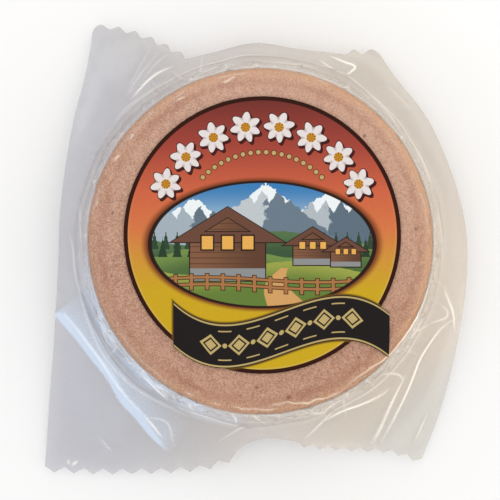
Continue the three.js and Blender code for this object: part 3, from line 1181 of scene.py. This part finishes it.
def picture(place, u, v):
    """A mountain pasture with timber huts, for the label's oval window."""
    rough = place.noise(0.35, 3.0, 0.6) - 0.5
    tone = v.step(16.0, -2.0).mix(paint(58, 122, 178), paint(178, 205, 214))
    for x, top, slope, lit, shade in (
        (-22, 11.5, 0.62, paint(160, 172, 182), paint(96, 112, 126)),
        (21, 13.5, 0.66, paint(172, 182, 188), paint(92, 108, 122)),
        (1, 16.5, 0.78, paint(186, 194, 198), paint(104, 120, 134)),
    ):
        crag = abs(u - x) * slope + rough * 5.0
        mountain = (v - top + crag).inside()
        flank = (u - x + rough * 9.0).inside(0.8).mix(shade, lit)
        snow = (top - 6.5 - v + abs(repeat(u + rough * 3.0, 5.0)) * 1.7).inside(0.4)
        tone = mountain.mix(tone, snow.mix(flank, paint(232, 238, 240)))
    for level, wave, phase, top_paint, low_paint in (
        (-1.0, 0.11, 1.0, paint(84, 112, 74), paint(58, 84, 56)),
        (-5.0, 0.13, 3.4, paint(112, 138, 72), paint(76, 104, 56)),
        (-10.5, 0.1, 0.6, paint(150, 158, 72), paint(98, 122, 54)),
    ):
        crown = (u * wave + phase).math("SINE") * 2.2 + level
        hill = (v - crown + rough * 0.6).inside()
        tone = hill.mix(tone, (v - crown).step(0.0, -7.0).mix(top_paint, low_paint))
    tone = firs(tone, u, v)
    for x, base, size in ((-11, -14.5, 1.4), (16, -9.5, 0.72), (26.5, -10, 0.55)):
        tone = hut(tone, u, v, x, base, size)
    path = (abs(u - 7 + (v * 0.3).math("SINE") * 2.5) + v * 0.45 + 3.6).inside(0.4) * (v + 10.5).inside(0.4)
    tone = path.mix(tone, paint(206, 156, 96))
    return fence(tone, u, v)


def firs(tone, u, v):
    """Two rows of dark firs at the foot of the mountains."""
    for pitch, base, tall, shift, fill in (
        (3.6, -4.5, 6.0, 0.0, paint(48, 70, 50)),
        (4.6, -7.0, 6.5, 1.7, paint(40, 62, 42)),
    ):
        side = abs(repeat(u + shift, pitch))
        crown = side * 4.2 + v - base - tall + abs(repeat(v, 1.5)) * 1.1
        outer = 13.0 - abs(u + shift * 2)
        tree = crown.most(base - v).most(outer).inside(0.25)
        tone = tree.mix(tone, fill)
    return tone


def hut(tone, u, v, x, base, size):
    """A timber hut with a stone foot, a wide gable roof and lit windows."""
    wide, tall = 8.5 * size, 7.5 * size
    walls = box(u, v, x, base + 0.7 * tall, wide, 0.7 * tall)
    eave = base + 1.35 * tall
    gable = (abs(u - x) * 0.62 + v - eave - 6.6 * size).most(eave - 1.4 * size - v)
    planks = abs(repeat(v, 1.3 * size)).step(0.5 * size, 0.62 * size)
    timber = planks.mix(paint(128, 88, 64), paint(84, 54, 38))
    timber = (u - x).step(-wide, wide).mix(timber, paint(92, 62, 46))
    tone = (walls - 0.35).inside().mix(tone, paint(36, 24, 18))
    tone = walls.inside().mix(tone, timber)
    foot = box(u, v, x, base + 1.4 * size, wide, 1.4 * size)
    tone = foot.inside().mix(tone, paint(138, 140, 140))
    roof = gable.most(-(gable + 2.3 * size))
    tone = gable.inside().mix(tone, timber)
    tone = (roof - 0.3).inside().mix(tone, paint(34, 22, 18))
    tone = roof.inside().mix(tone, paint(104, 70, 56))
    for side in (-4.6, 0.0, 4.6):
        pane = box(u, v, x + side * size, base + 1.15 * tall, 1.25 * size, 1.5 * size)
        tone = (pane - 0.35 * size).inside().mix(tone, paint(40, 26, 20))
        tone = pane.inside().mix(tone, paint(226, 170, 84))
    return tone


def fence(tone, u, v):
    """A low fence along the front of the pasture."""
    level = v + 15.6 + (u * 0.09).math("SINE") * 0.8
    post = box(repeat(u, 5.0), level, 0.0, 0.0, 0.5, 2.5)
    rails = abs(abs(level - 0.3) - 1.1) - 0.38
    wood = post.least(rails)
    tone = (wood - 0.25).inside().mix(tone, paint(40, 26, 18))
    return wood.inside().mix(tone, paint(166, 112, 68))


def garland(tone, u, v, label):
    """A row of white blossoms on an arc over the window, with a dark edge and a shadow."""
    pitch = GARLAND_SPAN / BLOSSOMS
    for shift_u, shift_v, grow, fill in (
        (0.55, -0.7, 0.35, paint(66, 22, 18)),
        (0.0, 0.0, 0.32, paint(58, 24, 18)),
        (0.0, 0.0, 0.0, linear(label.blossom)),
    ):
        a, b = u - shift_u, v - shift_v
        angle = b.math("ARCTAN2", a) - math.pi / 2
        sideways = repeat(angle + GARLAND_SPAN / 2, pitch) * GARLAND_ARC
        outwards = a.hypot(b) - GARLAND_ARC
        reach = sideways.hypot(outwards)
        turn = outwards.math("ARCTAN2", sideways)
        wave = (turn * PETALS).math("COSINE")
        within = (abs(angle) - GARLAND_SPAN / 2).inside(0.01)
        bloom = (reach - (wave * 0.17 + 0.83) * PETAL_REACH - grow).inside() * within
        tone = bloom.mix(tone, fill)
    veins = wave.step(-0.3, -1.0) * reach.step(1.4, 3.6)
    tone = (veins * bloom * 0.8).mix(tone, paint(150, 128, 128))
    seeds = abs(repeat(turn, math.pi / 4)).step(0.1, 0.3)
    heart = (reach - 1.5).inside() * within
    return heart.mix(tone, seeds.mix(paint(206, 150, 40), paint(150, 92, 30)))


def beads(tone, u, v, label):
    """Gold beads on a smaller arc under the blossoms."""
    angle = v.math("ARCTAN2", u) - math.pi / 2
    sideways = repeat(angle + BEAD_SPAN, BEAD_PITCH) * BEAD_ARC
    bead = sideways.hypot(u.hypot(v) - BEAD_ARC)
    within = (abs(angle) - BEAD_SPAN).inside(0.01)
    tone = ((bead - 0.95).inside() * within).mix(tone, paint(84, 40, 22))
    return ((bead - 0.7).inside() * within).mix(tone, linear(label.gold))


def ribbon(tone, u, v, label):
    """The black ribbon with gold piping and a row of gold lozenges."""
    x, y = RIBBON_MIDDLE
    along = (u - x) / RIBBON_CREST[0]
    down = y + (3 * along - along * along * along) * (RIBBON_CREST[1] / 2) - v
    edge = abs(down) - RIBBON_HEIGHT / 2
    band = edge.most(RIBBON_LEFT - u)
    tone = (band - 0.5).inside(0.8).mix(tone, paint(96, 70, 20))
    tone = band.inside().mix(tone, linear(label.ribbon))
    piping = abs(edge + 0.55) - 0.26
    along = u - (RIBBON_LEFT + RIBBON_RIGHT) / 2
    between = repeat(along + LOZENGE_PITCH / 2, LOZENGE_PITCH)
    lozenge = abs(repeat(along, LOZENGE_PITCH)) * 0.95 + abs(down) - 3.3
    hollow = abs(lozenge + 1.25) - 0.32
    dot = between.hypot(down) - 0.75
    bars = (abs(abs(down) - 4.55) - 0.2).most(abs(between) - 2.1)
    marks = lozenge.most(-hollow).least(dot).most(abs(along) - 26.1)
    gold = marks.least(bars.most(abs(along) - 24.0)).least(piping).most(band + 0.1)
    return gold.inside().mix(tone, linear(label.gold))


def label_material(label):
    """Printed paper: a dark ring, a ground from maroon to yellow, a picture, a garland and a ribbon."""
    material, place = new_material("printed_label")
    x, y, _ = place.parts()
    u, v = x - LABEL_MIDDLE.x, y - LABEL_MIDDLE.y
    across = u.hypot(v)
    ground = place.node(
        "ShaderNodeValToRGB",
        {
            "stops": [
                (0.0, paint(197, 163, 26)),
                (0.3, paint(197, 160, 30)),
                (0.42, paint(203, 142, 56)),
                (0.52, paint(208, 116, 68)),
                (0.66, paint(200, 97, 66)),
                (0.82, paint(158, 66, 54)),
                (1.0, paint(104, 44, 40)),
            ]
        },
        {0: v / (2 * LABEL_RADIUS) + 0.5},
    )
    window = oval(u, v, 0.0, -3.0, 35.0, 19.5)
    tone = (window - 1.5).inside(1.6).mix(ground, paint(120, 60, 30))
    tone = (window - 0.75).inside().mix(tone, paint(40, 24, 18))
    tone = window.inside().mix(tone, picture(place, u, v))
    tone = garland(tone, u, v, label)
    tone = beads(tone, u, v, label)
    hairline = abs(LABEL_RADIUS - RING_WIDTH - 0.25 - across) - 0.22
    tone = (hairline.inside(0.3) * v.step(20.0, -24.0) * 0.5).mix(tone, paint(206, 176, 100))
    tone = (LABEL_RADIUS - RING_WIDTH - across).inside().mix(tone, linear(label.ring))
    tone = ribbon(tone, u, v, label)
    grain = place.noise(3.2, 2.0, 0.6)
    tone = (grain.step(0.5, 0.75) * 0.12).mix(tone, paint(20, 14, 12))
    shader = place.node(
        "ShaderNodeBsdfPrincipled",
        None,
        {
            "Base Color": tone,
            "Roughness": 0.42 + grain * 0.12,
            "Specular IOR Level": 0.1,
            "Normal": bumps(place.noise(0.9, 2.0, 0.5), 0.12, 0.0004),
        },
    )
    finish_material(shader)
    return material


# The stage

# Lights: name, direction in degrees as turn from +X and height, distance, width and height in metres,
# power in watts, colour
LIGHTS = [
    ("window_light", 221, 40, 1.1, 0.8, 0.5, 0.5, (0.6, 0.82, 1.0)),
    ("room_light", 52, 48, 0.6, 0.5, 0.5, 0.5, (1.0, 0.92, 0.8)),
    ("lamp_upper_left", 118, 46, 1.0, 0.4, 0.4, 0.4, (1.0, 0.97, 0.92)),
    ("lamp_lower_right", 318, 50, 1.0, 0.4, 0.4, 0.35, (1.0, 0.94, 0.84)),
]
WORLD_STRENGTH = 0.92


def floor_material(stage):
    """Pale matt floor with the faintest unevenness."""
    material, place = new_material("pale_floor")
    cloud = place.noise(0.004, 2.0, 0.5)
    shader = place.node(
        "ShaderNodeBsdfPrincipled",
        None,
        {"Base Color": cloud.mix(linear(stage.floor), paint(246, 246, 246)), "Roughness": 0.8},
    )
    finish_material(shader)
    return material


def add_light(name, turn, height, distance, width, depth, power, tint):
    """A rectangular soft light that points at the pack."""
    lamp = bpy.data.lights.new(name, "AREA")
    lamp.shape = "RECTANGLE"
    lamp.size = width
    lamp.size_y = depth
    lamp.energy = power
    lamp.color = tint
    turn, height = math.radians(turn), math.radians(height)
    level = math.cos(height)
    place = distance * Vector((level * math.cos(turn), level * math.sin(turn), math.sin(height)))
    light = bpy.data.objects.new(name, lamp)
    light.location = place
    light.rotation_euler = (-place).to_track_quat("-Z", "Y").to_euler()
    bpy.context.scene.collection.objects.link(light)


def add_camera(stage):
    """A camera straight above the pack, with the top of its picture towards +Y."""
    camera = bpy.data.cameras.new("camera")
    camera.lens = stage.lens
    holder = bpy.data.objects.new("camera", camera)
    holder.location = (stage.camera_x, stage.camera_y, stage.camera_height)
    bpy.context.scene.collection.objects.link(holder)
    bpy.context.scene.camera = holder


class PACK_OT_half_wheel(bpy.types.Operator):
    """Model the half wheel of cheese"""

    bl_idname = "pack.half_wheel"
    bl_label = "Half wheel"

    def execute(self, context):
        wheel = context.scene.half_wheel
        finish_piece("half_wheel", wheel_mesh(wheel), rind_material(wheel))
        return {"FINISHED"}


class PACK_OT_pouch_film(bpy.types.Operator):
    """Model the clear pouch around the half wheel"""

    bl_idname = "pack.pouch_film"
    bl_label = "Pouch"

    def execute(self, context):
        film = context.scene.pouch_film
        bm = film_mesh(film, context.scene.half_wheel)
        piece = finish_piece("pouch_film", bm, film_material(film), math.radians(100))
        piece.visible_shadow = False
        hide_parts("pouch")
        return {"FINISHED"}


class PACK_OT_label(bpy.types.Operator):
    """Model the printed label on the film"""

    bl_idname = "pack.label"
    bl_label = "Label"

    def execute(self, context):
        label = context.scene.pack_label
        bm = label_mesh(label, context.scene.half_wheel)
        piece = finish_piece("face_label", bm, label_material(label))
        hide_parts("label")
        return {"FINISHED"}


class PACK_OT_stage(bpy.types.Operator):
    """Lay the floor and set the lights and the camera"""

    bl_idname = "pack.stage"
    bl_label = "Stage"

    def execute(self, context):
        stage = context.scene.pack_stage
        bm = bmesh.new()
        bmesh.ops.create_grid(bm, x_segments=1, y_segments=1, size=stage.floor_size / 2)
        mesh = bpy.data.meshes.new("floor")
        bm.to_mesh(mesh)
        bm.free()
        mesh.materials.append(floor_material(stage))
        floor = bpy.data.objects.new("floor", mesh)
        context.scene.collection.objects.link(floor)
        for light in LIGHTS:
            add_light(*light)
        world = bpy.data.worlds.new("soft_room")
        world.use_nodes = True
        world.node_tree.nodes["Background"].inputs["Strength"].default_value = WORLD_STRENGTH
        world.node_tree.nodes["Background"].inputs["Color"].default_value = (1.0, 1.0, 1.0, 1.0)
        context.scene.world = world
        context.scene.view_settings.view_transform = "Standard"
        add_camera(stage)
        return {"FINISHED"}


OPERATORS = [PACK_OT_half_wheel, PACK_OT_pouch_film, PACK_OT_label, PACK_OT_stage]


class PACK_PT_half_wheel(bpy.types.Panel):
    """The pack's pieces and their settings in the sidebar"""

    bl_idname = "PACK_PT_half_wheel"
    bl_label = "Vacuum-packed half wheel"
    bl_space_type = "VIEW_3D"
    bl_region_type = "UI"
    bl_category = "Half wheel"

    def draw(self, context):
        for operator, name in zip(OPERATORS, GROUPS):
            column = self.layout.box().column()
            settings = getattr(context.scene, name)
            for key in settings.bl_rna.properties.keys():
                if key not in {"rna_type", "name"}:
                    column.prop(settings, key)
            column.operator(operator.bl_idname)


CLASSES = [*GROUPS.values(), *OPERATORS, PACK_PT_half_wheel]


def register():
    for cls in CLASSES:
        bpy.utils.register_class(cls)
    for name, group in GROUPS.items():
        setattr(bpy.types.Scene, name, PointerProperty(type=group))


def unregister():
    for name in GROUPS:
        delattr(bpy.types.Scene, name)
    for cls in reversed(CLASSES):
        bpy.utils.unregister_class(cls)


def main():
    """Builds the pack."""
    register()
    bpy.ops.pack.half_wheel()
    bpy.ops.pack.pouch_film()
    bpy.ops.pack.label()
    bpy.ops.pack.stage()


if __name__ == "__main__":
    main()
